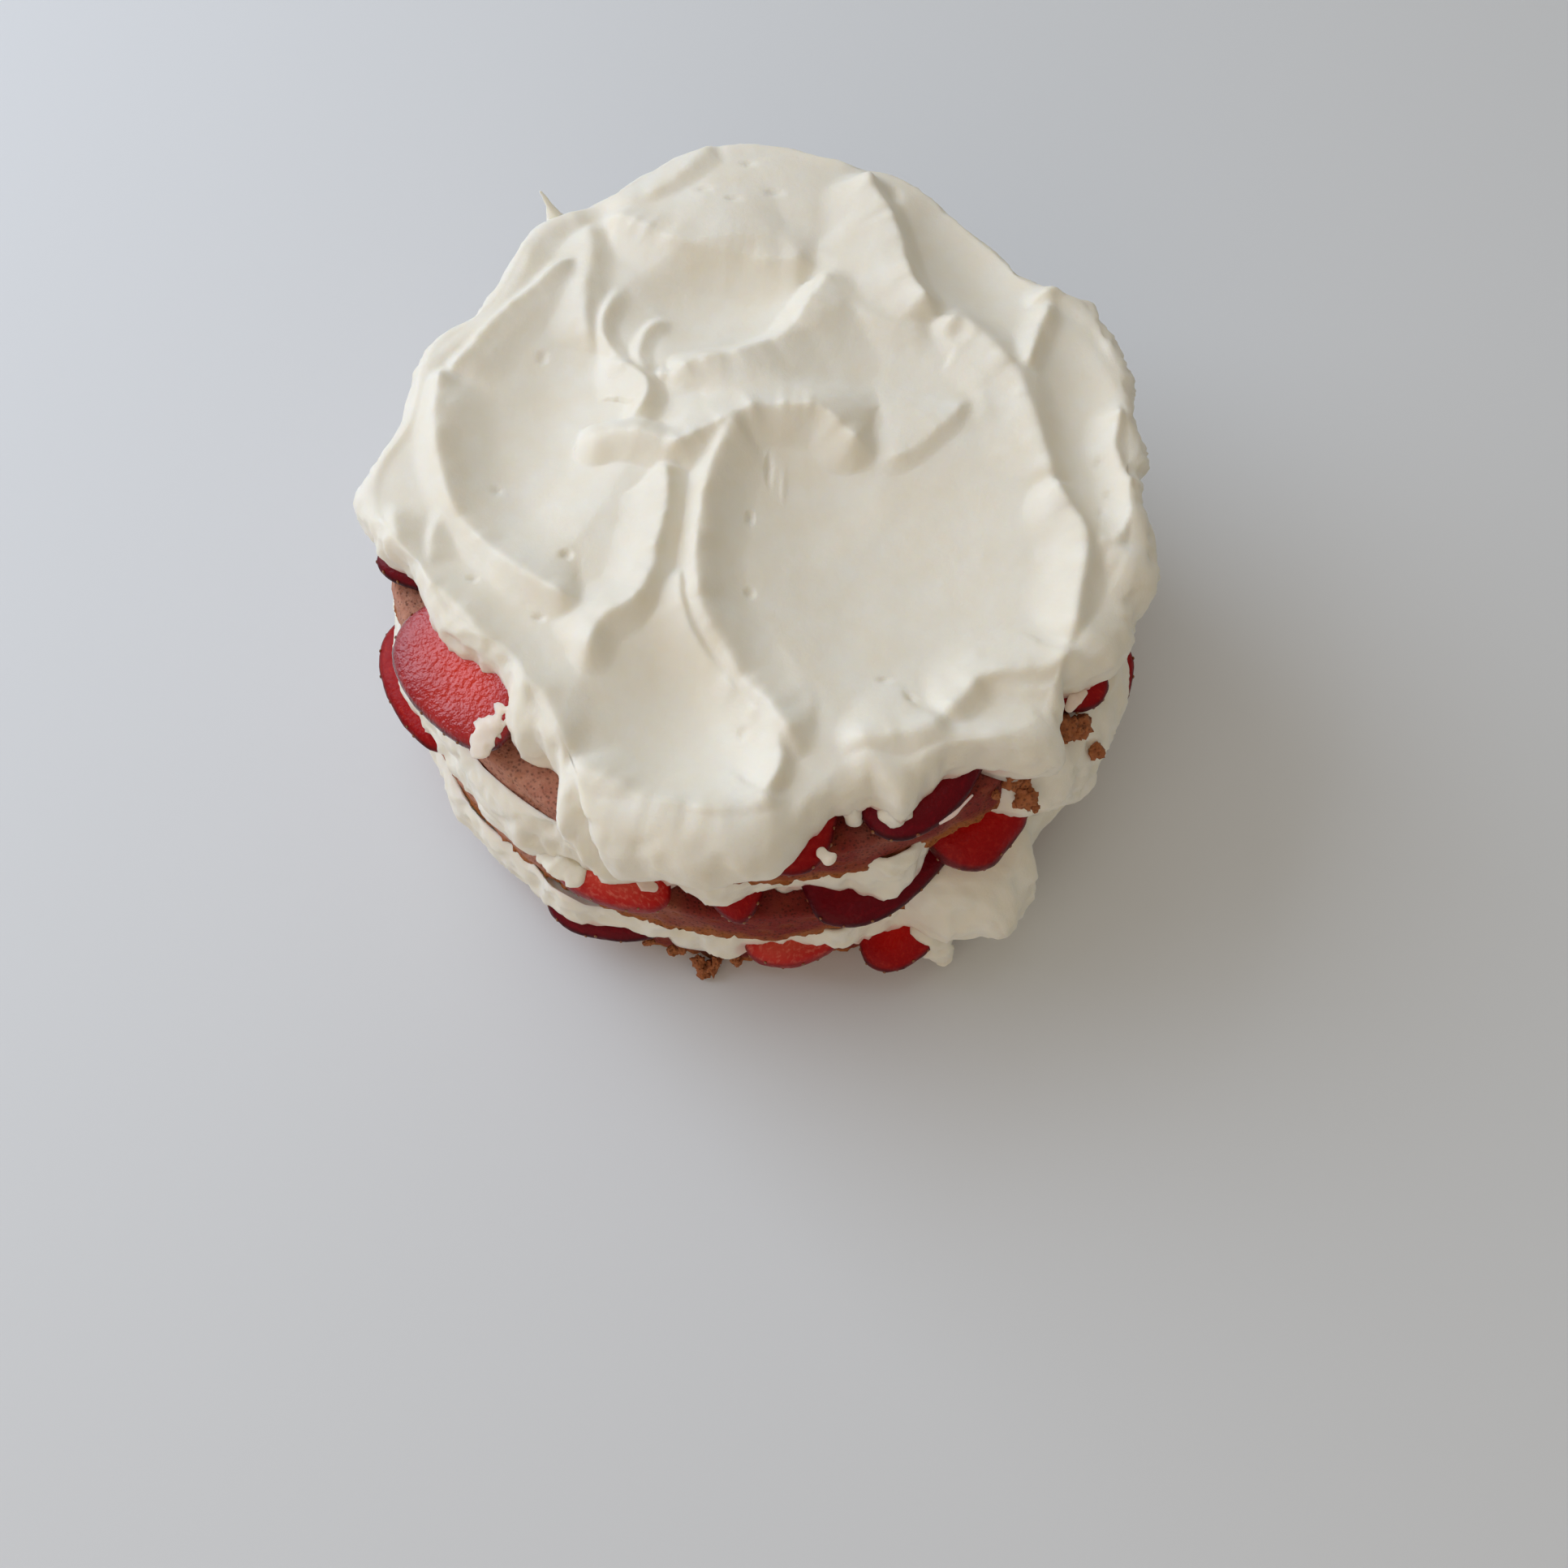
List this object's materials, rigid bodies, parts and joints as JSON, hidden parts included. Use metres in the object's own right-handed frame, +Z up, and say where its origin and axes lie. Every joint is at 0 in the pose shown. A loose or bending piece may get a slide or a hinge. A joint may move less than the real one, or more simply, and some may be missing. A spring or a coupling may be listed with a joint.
{
  "type": "strawberry shortcake",
  "caption": "Round layered strawberry shortcake: thin sponges with strawberry slices and whipped cream between them, and a thick swirled cream top.",
  "frame": {"origin": "on the surface that the cake stands on, under the middle of the bottom sponge", "axes": "+Z up, -Y towards the front that the picture shows, +X to the viewer's right"},
  "size_m": [0.1748, 0.1749, 0.0942],
  "materials": {
    "whipped_cream": "soft matt with a faint sheen",
    "sponge_crust": "dry and matt, finely porous",
    "strawberry": "wet gloss"
  },
  "bodies": {
    "root": {"sponge_bottom": "sponge_crust", "cream_lower": "whipped_cream", "sponge_middle": "sponge_crust", "cream_upper": "whipped_cream", "sponge_top": "sponge_crust", "cream_top": "whipped_cream", "berry_bottom_1": "strawberry", "berry_bottom_2": "strawberry", "berry_bottom_3": "strawberry", "berry_bottom_4": "strawberry", "berry_bottom_5": "strawberry", "berry_bottom_6": "strawberry", "berry_bottom_7": "strawberry", "berry_bottom_8": "strawberry", "berry_middle_1": "strawberry", "berry_middle_2": "strawberry", "berry_middle_3": "strawberry", "berry_middle_4": "strawberry", "berry_middle_5": "strawberry", "berry_middle_6": "strawberry", "berry_middle_7": "strawberry", "berry_middle_8": "strawberry", "berry_middle_9": "strawberry", "berry_middle_10": "strawberry", "berry_middle_11": "strawberry", "berry_top_1": "strawberry", "berry_top_2": "strawberry", "berry_top_3": "strawberry", "berry_top_4": "strawberry", "berry_top_5": "strawberry", "berry_top_6": "strawberry", "berry_top_7": "strawberry", "berry_top_8": "strawberry", "berry_top_9": "strawberry", "berry_top_10": "strawberry"}
  },
  "joints": []
}
